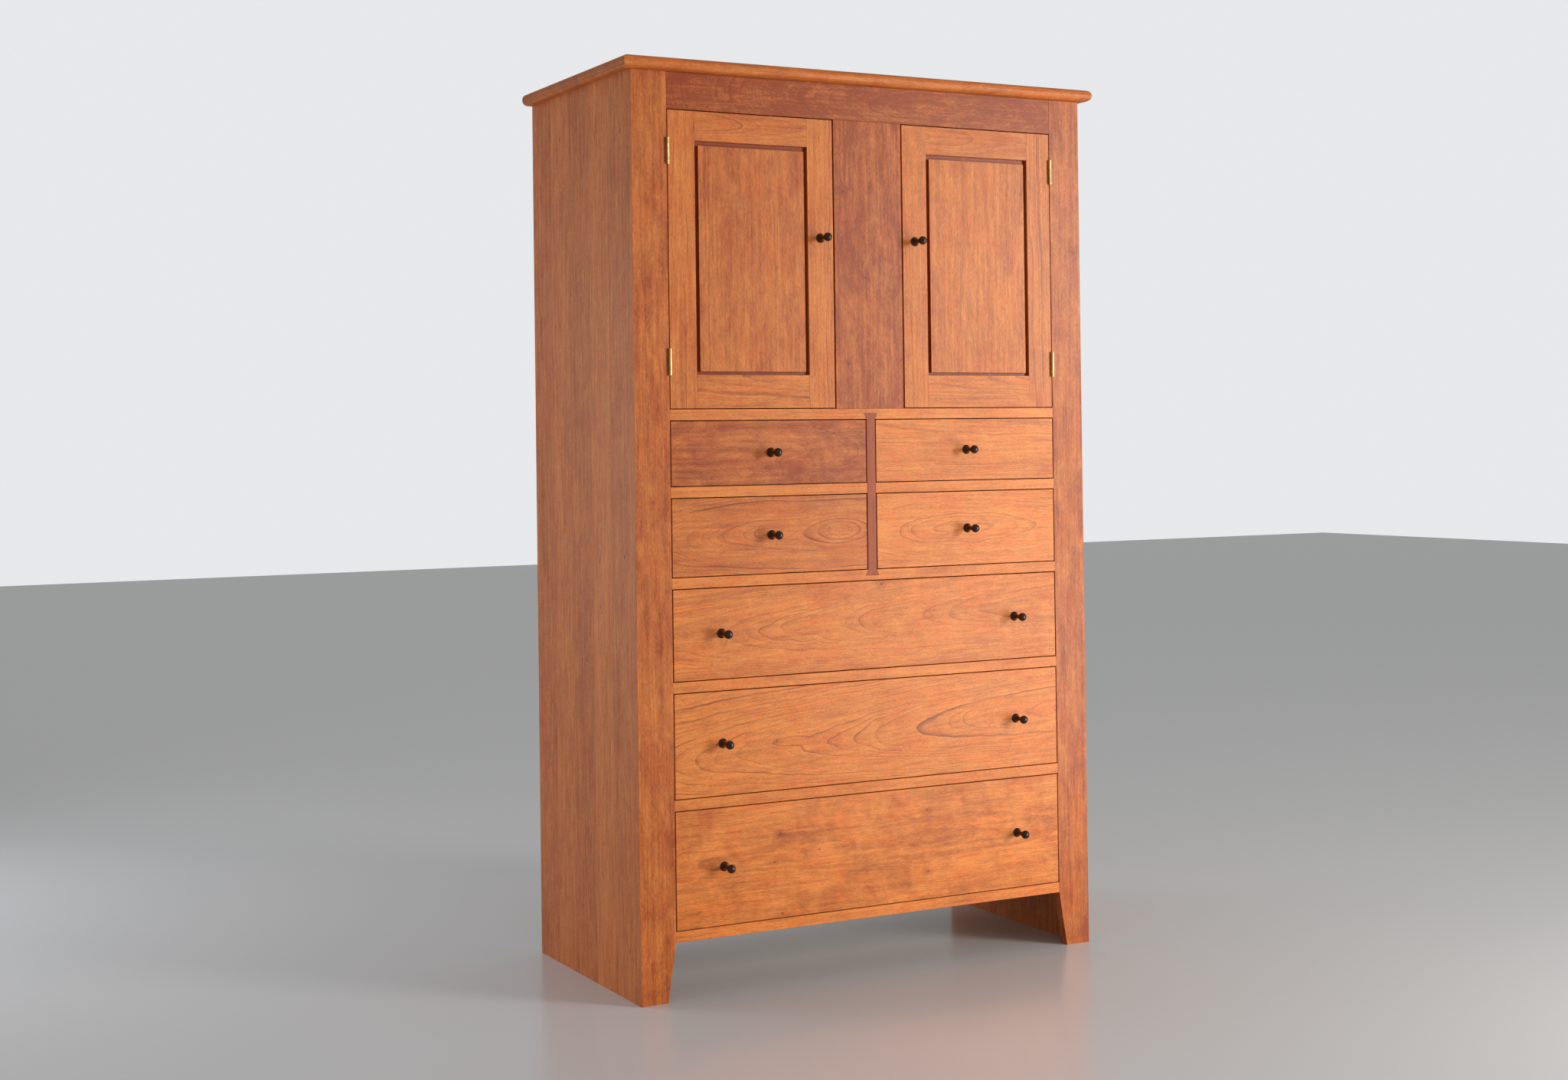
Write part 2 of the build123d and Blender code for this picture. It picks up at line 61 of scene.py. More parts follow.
eye = Vector((-2.1907, -3.7541 + face_y, 1.0727))
right = Vector((0.88326, -0.46870, -0.01275))
up = Vector((0.00679, -0.01441, 0.99987))
ahead = Vector((0.46883, 0.88324, 0.00954))
camera_data = bpy.data.cameras.new("camera")
camera_data.sensor_width = 36.0
camera_data.lens = 49.39
camera_data.shift_y = -0.0762
camera_data.clip_end = 100.0
camera = bpy.data.objects.new("camera", camera_data)
camera.matrix_world = Matrix.Translation(eye) @ Matrix((right, up, -ahead)).transposed().to_4x4()
scene.collection.objects.link(camera)
scene.camera = camera

surround = bpy.data.worlds.new("surround")
surround.use_nodes = True
sky = surround.node_tree
wall_light = sky.nodes["Background"]
wall_light.inputs["Color"].default_value = (0.97, 0.97, 0.96, 1)
wall_light.inputs["Strength"].default_value = 0.42
wall_seen = sky.nodes.new("ShaderNodeBackground")
wall_seen.inputs["Color"].default_value = (0.80, 0.81, 0.83, 1)
wall_choice = sky.nodes.new("ShaderNodeMixShader")
sky.links.new(sky.nodes.new("ShaderNodeLightPath").outputs["Is Camera Ray"], wall_choice.inputs[0])
sky.links.new(wall_light.outputs[0], wall_choice.inputs[1])
sky.links.new(wall_seen.outputs[0], wall_choice.inputs[2])
sky.links.new(wall_choice.outputs[0], sky.nodes["World Output"].inputs["Surface"])
scene.world = surround
scene.view_settings.view_transform = "Standard"


def soft_lamp(name, place, target, size, power, tint):
    lamp = bpy.data.lights.new(name, "AREA")
    lamp.shape = "SQUARE"
    lamp.size = size
    lamp.energy = power
    lamp.color = tint
    stand = bpy.data.objects.new(name, lamp)
    aim = (Vector(target) - Vector(place)).to_track_quat("-Z", "Y")
    stand.matrix_world = Matrix.Translation(place) @ aim.to_matrix().to_4x4()
    stand.visible_camera = False
    scene.collection.objects.link(stand)


soft_lamp("window", (3.8, -4.5, 1.8), (0.1, face_y, 0.7), 1.5, 196.0, (1.0, 0.95, 0.87))
soft_lamp("floor_glow", (1.6, -2.1, 0.08), (0.30, face_y, 0.45), 1.3, 50.0, (1.0, 0.96, 0.90))
soft_lamp("left_wall", (-2.6, 1.6, 1.0), (-0.52, 0.0, 0.9), 1.5, 28.0, (0.95, 0.97, 1.0))

floor_mesh = bpy.data.meshes.new("floor")
reach = 14.0
floor_mesh.from_pydata(
    [(-reach, -reach, 0), (reach, -reach, 0), (reach, reach, 0), (-reach, reach, 0)],
    [], [(0, 1, 2, 3)])
floor = bpy.data.objects.new("floor", floor_mesh)
scene.collection.objects.link(floor)
floor_paint = bpy.data.materials.new("floor_paint")
floor_paint.use_nodes = True
floor_shader = floor_paint.node_tree.nodes["Principled BSDF"]
floor_shader.inputs["Base Color"].default_value = (0.60, 0.61, 0.63, 1)
floor_shader.inputs["Roughness"].default_value = 0.22
floor_mesh.materials.append(floor_paint)


# ------------------------------------------------------------------ cherry boards
# Every board is sawn from a cherry log, planed, eased along its edges with fine paper and oiled.
# Its figure is the log's growth rings seen where the saw went through them, so each board keeps
# its own place in its own log: how far the pith lies behind its face, and how the log leans to it.


def node(tree, kind, values=None, **settings):
    """A shader node; values are numbers or the sockets that feed its inputs."""
    made = tree.nodes.new(kind)
    for name, setting in settings.items():
        setattr(made, name, setting)
    for key, value in (values or {}).items():
        if isinstance(value, bpy.types.NodeSocket):
            tree.links.new(value, made.inputs[key])
        else:
            made.inputs[key].default_value = value
    return made


def sum_of(tree, operation, *values, clamp=False):
    """A math node's result."""
    return node(tree, "ShaderNodeMath", dict(enumerate(values)), operation=operation,
                use_clamp=clamp).outputs[0]


def scaled(tree, vector, along, across):
    """The vector stretched: along the grain by one factor, and across it by the other."""
    return node(tree, "ShaderNodeVectorMath", {0: vector, 1: (along, across, across)},
                operation="MULTIPLY").outputs[0]


def noise(tree, vector, along, across, detail=1.0, output="Fac"):
    """Smooth noise drawn out along the grain; its middle is 0.5."""
    return node(tree, "ShaderNodeTexNoise",
                {"Vector": scaled(tree, vector, along, across), "Scale": 1.0, "Detail": detail},
                noise_dimensions="3D").outputs[output]


def ramp(tree, value, low, high, smooth=True):
    """0 below low, 1 above high."""
    return node(tree, "ShaderNodeMapRange", {"Value": value, "From Min": low, "From Max": high},
                interpolation_type="SMOOTHSTEP" if smooth else "LINEAR", clamp=True).outputs[0]


def mixed(tree, factor, first, second, blend="MIX"):
    """Two colours mixed."""
    made = tree.nodes.new("ShaderNodeMix")
    made.data_type = "RGBA"
    made.blend_type = blend
    for socket, value in ((made.inputs[0], factor), (made.inputs[6], first), (made.inputs[7], second)):
        if isinstance(value, bpy.types.NodeSocket):
            tree.links.new(value, socket)
        else:
            socket.default_value = value
    return made.outputs[2]


def wood_group():
    """The figure of a sawn board: growth rings, knots, blotches, curl, fibres, pores and gum."""
    tree = bpy.data.node_groups.new("wood_figure", "ShaderNodeTree")
    faces = tree.interface
    for name, kind, default in (
        ("Grain", "NodeSocketVector", (0, 0, 0)), ("Board", "NodeSocketVector", (0.3, 0, 0)),
        ("Figure", "NodeSocketVector", (1, 1, 0)), ("Growth", "NodeSocketVector", (1, 0, 1)),
        ("Knot", "NodeSocketVector", (1, 1, 0)), ("End", "NodeSocketFloat", 0.0),
        ("Light", "NodeSocketColor", (0.6, 0.2, 0.06, 1)),
        ("Dark", "NodeSocketColor", (0.3, 0.07, 0.03, 1)),
        ("Ring", "NodeSocketColor", (0.2, 0.07, 0.03, 1)),
        ("Gum", "NodeSocketColor", (0.05, 0.02, 0.015, 1)),
        ("Ring Width", "NodeSocketFloat", 0.004), ("Ring Strength", "NodeSocketFloat", 0.5),
        ("Blotch", "NodeSocketFloat", 0.5), ("Rough", "NodeSocketFloat", 0.38),
    ):
        socket = faces.new_socket(name, in_out="INPUT", socket_type=kind)
        socket.default_value = default
    faces.new_socket("Color", in_out="OUTPUT", socket_type="NodeSocketColor")
    faces.new_socket("Roughness", in_out="OUTPUT", socket_type="NodeSocketFloat")
    faces.new_socket("Height", in_out="OUTPUT", socket_type="NodeSocketFloat")
    given = tree.nodes.new("NodeGroupInput").outputs
    result = tree.nodes.new("NodeGroupOutput").inputs

    def parts(vector):
        return node(tree, "ShaderNodeSeparateXYZ", {0: vector}).outputs

    def reckon(operation, *values, clamp=False):
        return sum_of(tree, operation, *values, clamp=clamp)

    def centred(value, strength):
        return reckon("MULTIPLY", reckon("SUBTRACT", value, 0.5), strength)

    grain, board, figure = parts(given["Grain"]), parts(given["Board"]), parts(given["Figure"])
    growth, knot = parts(given["Growth"]), parts(given["Knot"])
    tone, bow, seed = board[0], board[1], board[2]
    lines, mottle, gum = figure[0], figure[1], figure[2]
    wave, knots, curly = growth[0], growth[1], growth[2]
    shift = node(tree, "ShaderNodeVectorMath", {0: (1.37, 0.73, 0.31), "Scale": seed},
                 operation="SCALE").outputs[0]
    place = node(tree, "ShaderNodeVectorMath", {0: given["Grain"], 1: shift}).outputs[0]

    # the log's own waves, in one field that keeps neighbouring rings alike
    waves_field = noise(tree, place, 5.0, 6.0, 4.0, "Color")
    waves = parts(waves_field)
    across = reckon("MULTIPLY_ADD", reckon("SUBTRACT", waves[0], 0.5),
                    reckon("MULTIPLY", wave, 0.022), grain[1])
    bent = reckon("MULTIPLY", bow, reckon("MULTIPLY", grain[0], grain[0]))
    depth = reckon("ADD", grain[2], bent)
    depth = reckon("MULTIPLY_ADD", reckon("SUBTRACT", waves[1], 0.5),
                   reckon("MULTIPLY", wave, 0.011), depth)

    # small pin knots that the rings swell round, and one swirl where the board says so
    knot_spacing = (6.0, 21.0, 0.0)
    knot_shape = (0.115, 0.047, 0.0)
    swirl_length = 0.060
    swirl_width = 0.030
    spread = node(tree, "ShaderNodeVectorMath", {0: place, 1: knot_spacing},
                  operation="MULTIPLY").outputs[0]
    cell = node(tree, "ShaderNodeTexVoronoi", {"Vector": spread, "Scale": 1.0, "Randomness": 0.9},
                voronoi_dimensions="2D", feature="F1").outputs
    lot = parts(cell["Color"])
    chosen = reckon("LESS_THAN", lot[0], knots)
    near = reckon("SUBTRACT", 1.0, ramp(tree, cell["Distance"], 0.0, 0.5))
    swell = reckon("MULTIPLY", chosen, near)
    depth = reckon("MULTIPLY_ADD", swell, 0.007, depth)
    away = node(tree, "ShaderNodeVectorMath", {0: spread, 1: cell["Position"]},
                operation="SUBTRACT").outputs[0]
    away = node(tree, "ShaderNodeVectorMath", {0: away, 1: knot_shape},
                operation="MULTIPLY").outputs[0]
    away = node(tree, "ShaderNodeVectorMath", {0: away}, operation="LENGTH").outputs["Value"]
    heart = reckon("MULTIPLY", chosen, reckon("SUBTRACT", 1.0, ramp(tree, away, 0.0004, 0.0030)))
    halo = reckon("MULTIPLY", chosen, reckon("SUBTRACT", 1.0, ramp(tree, away, 0.001, 0.016)))
    swirl = reckon("ADD", reckon("POWER", reckon("DIVIDE", knot[0], swirl_length), 2.0),
                   reckon("POWER", reckon("DIVIDE", knot[1], swirl_width), 2.0))
    swirl = reckon("MULTIPLY", reckon("EXPONENT", reckon("MULTIPLY", swirl, -1.0)), knot[2])
    depth = reckon("ADD", depth, swirl)

    # where the saw cut meets the rings
    radius = reckon("SQRT", reckon("ADD", reckon("MULTIPLY", across, across),
                                   reckon("MULTIPLY", depth, depth)))
    count = reckon("DIVIDE", radius, given["Ring Width"])
    uneven = node(tree, "ShaderNodeTexNoise", {"W": reckon("ADD", count, seed), "Scale": 0.37,
                  "Detail": 1.0}, noise_dimensions="1D").outputs["Fac"]
    count = reckon("MULTIPLY_ADD", uneven, 3.2, count)
    part = reckon("FRACT", count)
    year = node(tree, "ShaderNodeTexWhiteNoise",
                {"W": reckon("ADD", reckon("FLOOR", count), seed)},
                noise_dimensions="1D").outputs["Value"]
    sharp = reckon("MULTIPLY", ramp(tree, part, 0.80, 0.955),
                   reckon("SUBTRACT", 1.0, ramp(tree, part, 0.975, 1.0)))
    soft = reckon("MULTIPLY", reckon("POWER", part, 4.0),
                  reckon("SUBTRACT", 1.0, ramp(tree, part, 0.975, 1.0)))
    faded = ramp(tree, noise(tree, place, 9.0, 22.0, 2.0), 0.34, 0.62)
    strength = reckon("MULTIPLY", reckon("MULTIPLY_ADD", reckon("POWER", year, 2.0), 0.8, 0.2),
                      reckon("MULTIPLY_ADD", faded, 0.75, 0.25))
    strength = reckon("MULTIPLY", strength, reckon("MULTIPLY", given["Ring Strength"], lines))
    ring = reckon("MULTIPLY", reckon("MULTIPLY_ADD", soft, 0.25, reckon("MULTIPLY", sharp, 0.75)),
                  strength, clamp=True)

    # slow changes of tone, bent by the same waves
    drawn = node(tree, "ShaderNodeVectorMath", {0: waves_field, 1: (0.16, 0.05, 0.05)},
                 operation="MULTIPLY").outputs[0]
    drawn = node(tree, "ShaderNodeVectorMath", {0: place, 1: drawn}).outputs[0]
    curl_slant = 0.45
    own = parts(drawn)
    skewed = reckon("MULTIPLY_ADD", own[1], curl_slant, own[0])
    slanted = node(tree, "ShaderNodeCombineXYZ", {0: skewed, 1: own[1], 2: own[2]}).outputs[0]
    blotch = reckon("SUBTRACT", noise(tree, drawn, 7.5, 17.0, 3.0), 0.5)
    curl = centred(noise(tree, slanted, 46.0, 15.0, 1.5), curly)
    quilt = centred(noise(tree, drawn, 27.0, 80.0, 2.0), reckon("MULTIPLY_ADD", mottle, 0.5, 0.5))
    streak = reckon("SUBTRACT", noise(tree, place, 5.0, 150.0, 3.0), 0.5)
    fibre = reckon("SUBTRACT", noise(tree, place, 140.0, 720.0, 2.0), 0.5)
    shade = reckon("MULTIPLY_ADD", reckon("MULTIPLY", blotch, mottle), given["Blotch"], tone)
    shade = reckon("MULTIPLY_ADD", curl, 0.33, shade)
    shade = reckon("MULTIPLY_ADD", quilt, 0.60, shade)
    shade = reckon("MULTIPLY_ADD", streak, 0.80, shade)
    shade = reckon("MULTIPLY_ADD", fibre, 0.95, shade)
    shade = reckon("MULTIPLY_ADD", halo, 0.22, shade)
    shade = reckon("ADD", shade, reckon("MULTIPLY", centred(part, 0.13), lines), clamp=True)
    color = mixed(tree, shade, given["Light"], given["Dark"])
    warm = ramp(tree, noise(tree, drawn, 11.0, 26.0, 1.0), 0.42, 0.68)
    color = mixed(tree, reckon("MULTIPLY", warm, 0.8), color, (1.0, 0.86, 0.80, 1), "MULTIPLY")
    russet = ramp(tree, noise(tree, place, 34.0, 260.0, 3.0), 0.34, 0.66)
    color = mixed(tree, reckon("MULTIPLY", russet, 0.8), color, (1.0, 0.84, 0.66, 1), "MULTIPLY")
    color = mixed(tree, ring, color, given["Ring"])

    # pores are short dark hairs; gum is a rare small dark dash, and a pin knot has a dark heart
    pore = ramp(tree, noise(tree, place, 260.0, 2300.0, 0.0), 0.60, 0.74)
    color = mixed(tree, reckon("MULTIPLY", pore, 0.26), color, given["Ring"])
    gum_cell = node(tree, "ShaderNodeTexVoronoi",
                    {"Vector": scaled(tree, place, 14.0, 40.0), "Scale": 1.0},
                    voronoi_dimensions="3D", feature="F1").outputs
    found = reckon("LESS_THAN", parts(gum_cell["Color"])[0], gum)
    inside = reckon("SUBTRACT", 1.0, ramp(tree, gum_cell["Distance"], 0.05, 0.11))
    dash = reckon("MULTIPLY", found, inside)
    mark = reckon("MAXIMUM", reckon("MULTIPLY", dash, 0.8), reckon("MULTIPLY", heart, 0.8))
    color = mixed(tree, mark, color, given["Gum"])

    # end grain drinks more oil
    color = mixed(tree, reckon("MULTIPLY", given["End"], 0.45), color, given["Ring"])
    tree.links.new(color, result["Color"])
    rough = reckon("MULTIPLY_ADD", fibre, 0.10, reckon("MULTIPLY_ADD", ring, -0.05, given["Rough"]))
    rough = reckon("MULTIPLY_ADD", given["End"], 0.15, rough)
    tree.links.new(rough, result["Roughness"])
    height = reckon("MULTIPLY_ADD", fibre, 0.5, reckon("MULTIPLY", pore, -0.7))
    tree.links.new(reckon("MULTIPLY_ADD", ring, 0.25, height), result["Height"])
    return tree


wood_figure = wood_group()


def wood(name, light, dark, ring, gum=(0.10, 0.025, 0.012), sheen=0.5, **values):
    """An oiled wood that reads each board's place in its log from the board itself."""
    material = bpy.data.materials.new(name)
    material.use_nodes = True
    tree = material.node_tree
    shader = tree.nodes["Principled BSDF"]
    group = node(tree, "ShaderNodeGroup", node_tree=wood_figure)
    for label, source, output in (("Grain", "grain", "Vector"), ("Board", "board", "Vector"),
                                  ("Figure", "figure", "Vector"), ("Growth", "growth", "Vector"),
                                  ("Knot", "knot", "Vector"), ("End", "end_grain", "Fac")):
        read = node(tree, "ShaderNodeAttribute", attribute_name=source)
        tree.links.new(read.outputs[output], group.inputs[label])
    for label, color in (("Light", light), ("Dark", dark), ("Ring", ring), ("Gum", gum)):
        group.inputs[label].default_value = (*color, 1)
    for label, value in values.items():
        group.inputs[label.replace("_", " ").title()].default_value = value
    tree.links.new(group.outputs["Color"], shader.inputs["Base Color"])
    tree.links.new(group.outputs["Roughness"], shader.inputs["Roughness"])
    bump = node(tree, "ShaderNodeBump", {"Height": group.outputs["Height"], "Distance": 0.00012,
                                         "Strength": 0.15})
    tree.links.new(bump.outputs[0], shader.inputs["Normal"])
    shader.inputs["Specular IOR Level"].default_value = sheen
    return material


cherry = wood("cherry", (0.74, 0.258, 0.058), (0.28, 0.058, 0.016), (0.200, 0.040, 0.008),
              sheen=0.22, ring_strength=1.0, blotch=0.6)

MERGE = 1e-6
FLAT = math.radians(0.5)
EDGE = math.radians(32)

# faces this far behind a board's show face lie in its groove, where painted shade darkens them in place
# of the groove's shadow
SHADED_GROOVE_DEPTHS = (0.0015, 0.0085)


def eased(name, cad_node, ease=0.0006, glue_lines=()):
    """A CAD board with its faces joined up, parted along its glue lines, and its edges eased."""
    shape = bmesh.new()
    shape.from_mesh(frame["nodes"][cad_node].data)
    bmesh.ops.remove_doubles(shape, verts=shape.verts, dist=MERGE)
    bmesh.ops.dissolve_limit(shape, angle_limit=FLAT, verts=shape.verts, edges=shape.edges)
    for axis, place in glue_lines:
        point = Vector((0, 0, 0))
        point[axis] = place
        normal = Vector((0, 0, 0))
        normal[axis] = 1
        bmesh.ops.bisect_plane(shape, geom=shape.verts[:] + shape.edges[:] + shape.faces[:],
                               plane_co=point, plane_no=normal, dist=MERGE)
    mesh = bpy.data.meshes.new(name)
    shape.to_mesh(mesh)
    shape.free()
    if "custom_normal" in mesh.attributes:
        mesh.attributes.remove(mesh.attributes["custom_normal"])
    piece = bpy.data.objects.new(name, mesh)
    scene.collection.objects.link(piece)
    mesh.shade_smooth()
    bevel = piece.modifiers.new("ease", "BEVEL")
    bevel.width = ease
    bevel.segments = 2
    bevel.limit_method = "ANGLE"
    bevel.angle_limit = EDGE
    flat = piece.modifiers.new("flat", "WEIGHTED_NORMAL")
    flat.mode = "FACE_AREA"
    flat.weight = 100
    flat.keep_sharp = True
    return settled(piece)


def settled(piece):
    """The piece with its modifiers worked into a plain mesh."""
    bpy.context.view_layer.update()
    depsgraph = bpy.context.evaluated_depsgraph_get()
    ready = piece.evaluated_get(depsgraph)
    mesh = bpy.data.meshes.new_from_object(ready, preserve_all_data_layers=True, depsgraph=depsgraph)
    mesh.name = piece.name
    piece.modifiers.clear()
    piece.data = mesh
    return piece


def figure(along=None, face=None, centre=(0.0, 0.0), pith=0.09, lean=0.0, slant=0.0, bow=0.0, tone=0.3,
           lines=1.0, mottle=1.0, gum=0.0, seed=0.0, wave=1.0, knots=0.0, curl=0.6,
           swirl=(0.0, 0.0, 0.0), reveal=0.0):
    """How one board was sawn: its grain direction, its show face, and where its pith lies."""
    return dict(along=along, face=face, centre=centre, pith=pith, lean=lean, slant=slant, bow=bow,
                tone=tone, lines=lines, mottle=mottle, gum=gum, seed=seed, wave=wave, knots=knots,
                curl=curl, swirl=swirl, reveal=reveal)


def islands(mesh):
    """The separate solids of a mesh, as lists of face numbers, from the left, front and bottom."""
    parent = list(range(len(mesh.vertices)))

    def root(i):
        while parent[i] != i:
            parent[i] = parent[parent[i]]
            i = parent[i]
        return i

    for face in mesh.polygons:
        first = root(face.vertices[0])
        for other in face.vertices[1:]:
            parent[root(other)] = first
    found = {}
    for face in mesh.polygons:
        found.setdefault(root(face.vertices[0]), []).append(face.index)
    places = np.array([v.co for v in mesh.vertices])

    def order(faces):
        low = places[[i for f in faces for i in mesh.polygons[f].vertices]].min(0)
        return tuple(round(c, 3) for c in low)

    return sorted(found.values(), key=order)


def lay_grain(piece, boards):
    """Writes each board's figure on its faces; boards is a list of (face numbers, figure)."""
    mesh = piece.data
    places = np.zeros(len(mesh.vertices) * 3)
    mesh.vertices.foreach_get("co", places)
    places = places.reshape(-1, 3)
    corners = len(mesh.loops)
    grain = np.zeros((corners, 3), np.float32)
    board = np.zeros((corners, 3), np.float32)
    marks = np.zeros((corners, 3), np.float32)
    growth = np.zeros((corners, 3), np.float32)
    knot = np.zeros((corners, 3), np.float32)
    end = np.zeros(corners, np.float32)
    for faces, sawn in boards:
        own = places[sorted({i for f in faces for i in mesh.polygons[f].vertices})]
        low, high = own.min(0), own.max(0)
        middle = (low + high) / 2
        order = np.argsort(high - low)
        along = int(order[2]) if sawn["along"] is None else sawn["along"]
        rest = [axis for axis in order if axis != along]
        show = int(rest[0]) if sawn["face"] is None else sawn["face"]
        across = 3 - along - show
        front = low[show] if show == 1 else high[show]
        for f in faces:
            polygon = mesh.polygons[f]
            is_end = abs(polygon.normal[along]) > 0.8
            sunk = SHADED_GROOVE_DEPTHS[0] < abs(polygon.center[show] - front) < SHADED_GROOVE_DEPTHS[1]
            # a face sunk in the groove gets painted shade: its tone darkens by the board's groove shade
            tone = sawn["tone"] + sawn["reveal"] * sunk
            for loop in polygon.loop_indices:
                p = places[mesh.loops[loop].vertex_index]
                u = p[along] - middle[along] - sawn["centre"][0]
                v = p[across] - middle[across] - sawn["centre"][1] - sawn["slant"] * u
                w = abs(p[show] - front) - sawn["pith"] + sawn["lean"] * u
                grain[loop] = (u, v, w)
                board[loop] = (tone, -sawn["bow"], sawn["seed"])
                marks[loop] = (sawn["lines"], sawn["mottle"], sawn["gum"])
                growth[loop] = (sawn["wave"], sawn["knots"], sawn["curl"])
                knot[loop] = (p[along] - middle[along] - sawn["swirl"][0],
                              p[across] - middle[across] - sawn["swirl"][1], sawn["swirl"][2])
                end[loop] = is_end
    for label, kind, values in (("grain", "FLOAT_VECTOR", grain), ("board", "FLOAT_VECTOR", board),
                                ("figure", "FLOAT_VECTOR", marks), ("growth", "FLOAT_VECTOR", growth),
                                ("knot", "FLOAT_VECTOR", knot)):
        mesh.attributes.new(label, kind, "CORNER").data.foreach_set("vector", values.ravel())
    mesh.attributes.new("end_grain", "FLOAT", "CORNER").data.foreach_set("value", end)


def body_of(cad_node):
    """The body that a CAD node rides on."""
    return next(name for name, nodes in frame["record"]["behaviour"]["bodies"].items()
                if cad_node in nodes)


def finished(piece, cad_nodes, material):
    """The piece takes its finish and stands for its CAD nodes."""
    piece.data.materials.clear()
    piece.data.materials.append(material)
    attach(piece, body_of(cad_nodes[0]))
    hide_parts(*cad_nodes)


def board_piece(cad_node, *figures, ease=0.0006, material=None, slot="cherry"):
    """One node whose solids are boards, in the order of their figures."""
    piece = eased(cad_node + "_wood", cad_node, ease)
    found = islands(piece.data)
    chance = random.Random(cad_node)
    sawn = list(figures)
    while len(sawn) < len(found):
        sawn.append(figure(tone=chance.uniform(0.2, 0.5), pith=chance.uniform(0.04, 0.14),
                           centre=(chance.uniform(-0.2, 0.2), chance.uniform(-0.05, 0.05)),
                           lean=chance.uniform(-0.04, 0.04), seed=chance.uniform(5, 60)))
    lay_grain(piece, list(zip(found, sawn)))
    finished(piece, [cad_node], material or cherry)
    return piece


def glued_piece(cad_node, axis, edges, figures, ease=0.0006):
    """One wide panel glued up from boards that meet at the given places along an axis."""
    piece = eased(cad_node + "_wood", cad_node, ease, [(axis, place) for place in edges])
    strips = [[] for _ in range(len(edges) + 1)]
    for polygon in piece.data.polygons:
        strips[sum(polygon.center[axis] > place for place in edges)].append(polygon.index)
    lay_grain(piece, [(faces, sawn) for faces, sawn in zip(strips, figures) if faces])
    finished(piece, [cad_node], cherry)
    return piece


X, Y, Z = 0, 1, 2


# ------------------------------------------------------------------ the sides
# Each side is a wide panel glued up from five upright cherry boards of uneven width and tone.  It
# is mitred to the stile at its front edge, rabbeted for the back, and stands on the floor.

for side, tones in (("left", (0.52, 0.40, 0.58, 0.50, 0.62)),
                    ("right", (0.45, 0.55, 0.40, 0.60, 0.50))):
    low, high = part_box("side_panel_" + side)
    shares = (0.23, 0.41, 0.62, 0.80)
    seams = [low.y + (high.y - low.y) * share for share in shares]
    chance = random.Random("side " + side)
    sawn = [figure(along=Z, face=X, tone=tone, pith=chance.uniform(0.05, 0.12),
                   centre=(chance.uniform(-0.5, 0.5), chance.uniform(-0.03, 0.03)),
                   lean=chance.uniform(0.01, 0.03), lines=0.75, mottle=0.7, gum=0.02,
                   seed=chance.uniform(5, 60)) for tone in tones]
    glued_piece("side_panel_" + side, Y, seams, sawn)


# ------------------------------------------------------------------ the face frame
# The front is a frame of stiles and rails, tenoned together and mitred to the sides.  The stiles
# are redder boards with a soft curl; the thin rails are cut from one straight light board.

board_piece("stile_left", figure(tone=0.60, pith=0.10, centre=(0.2, 0.05), lean=0.01, lines=0.5,
                                 mottle=1.5, seed=3.1))
board_piece("stile_right", figure(tone=0.72, pith=0.10, centre=(-0.3, -0.05), lean=0.012, lines=0.6,
                                  mottle=1.3, seed=8.4))
# the top rail's dark tone is partly its own darker heartwood and partly painted shade from the top's
# overhang
board_piece("top_rail", figure(tone=0.95, pith=0.05, centre=(0.16, 0.004), bow=0.35, lines=1.0,
                               mottle=1.2, seed=12.7))
board_piece("door_mullion", figure(tone=0.82, pith=0.07, centre=(-0.06, 0.0), bow=0.15, lines=0.45,
                                   mottle=1.6, knots=0.45, seed=21.9))
rail_looks = dict(along=X, face=Y, pith=0.12, lines=0.55, mottle=0.9)
board_piece("door_rail", figure(tone=0.22, centre=(0.0, 0.06), seed=31.0, **rail_looks))
board_piece("short_rails", figure(tone=0.25, centre=(0.0, 0.05), seed=33.0, **rail_looks),
            figure(tone=0.22, centre=(0.0, 0.06), seed=34.6, **rail_looks))
board_piece("drawer_rails", figure(tone=0.28, centre=(0.0, 0.05), seed=36.0, **rail_looks),
            figure(tone=0.24, centre=(0.0, 0.04), seed=38.3, **rail_looks),
            figure(tone=0.26, centre=(0.0, 0.06), seed=39.1, **rail_looks))
board_piece("bottom_rail", figure(tone=0.25, centre=(0.0, 0.05), gum=0.06, seed=41.5, **rail_looks))


# ------------------------------------------------------------------ the drawer divider
# A dark straight-grained upright parts the paired drawers.  Its ends are flared and let into the
# rails above and below, so that it can't pull out.

walnut = wood("walnut", (0.36, 0.078, 0.024), (0.18, 0.034, 0.010), (0.09, 0.020, 0.006), sheen=0.22,
              ring_strength=0.5, blotch=0.5)
board_piece("drawer_divider", figure(along=Z, face=Y, tone=0.3, pith=0.2, centre=(0.0, 0.1),
                                     lines=0.4, seed=44.0), material=walnut, slot="walnut")


# ------------------------------------------------------------------ the top
# The top is glued up from boards that run its whole length, with a full round nose worked along
# the front and both ends.

low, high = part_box("top_board")
shares = (0.22, 0.43, 0.62, 0.82)
seams = [low.y + (high.y - low.y) * share for share in shares]
chance = random.Random("top")
sawn = [figure(along=X, face=Z, tone=tone, pith=chance.uniform(0.05, 0.12),
               centre=(chance.uniform(-0.3, 0.3), chance.uniform(-0.03, 0.03)),
               lean=chance.uniform(-0.03, 0.03), seed=chance.uniform(5, 60))
        for tone in (0.42, 0.36, 0.5, 0.4, 0.46)]
glued_piece("top_board", Y, seams, sawn)


# ------------------------------------------------------------------ inside the case
# Shiplapped back boards in rabbets, a cabinet floor and a shelf in cherry; the runners, guides,
# stops and cleats, which show only behind an open door or drawer, are plain pale maple.

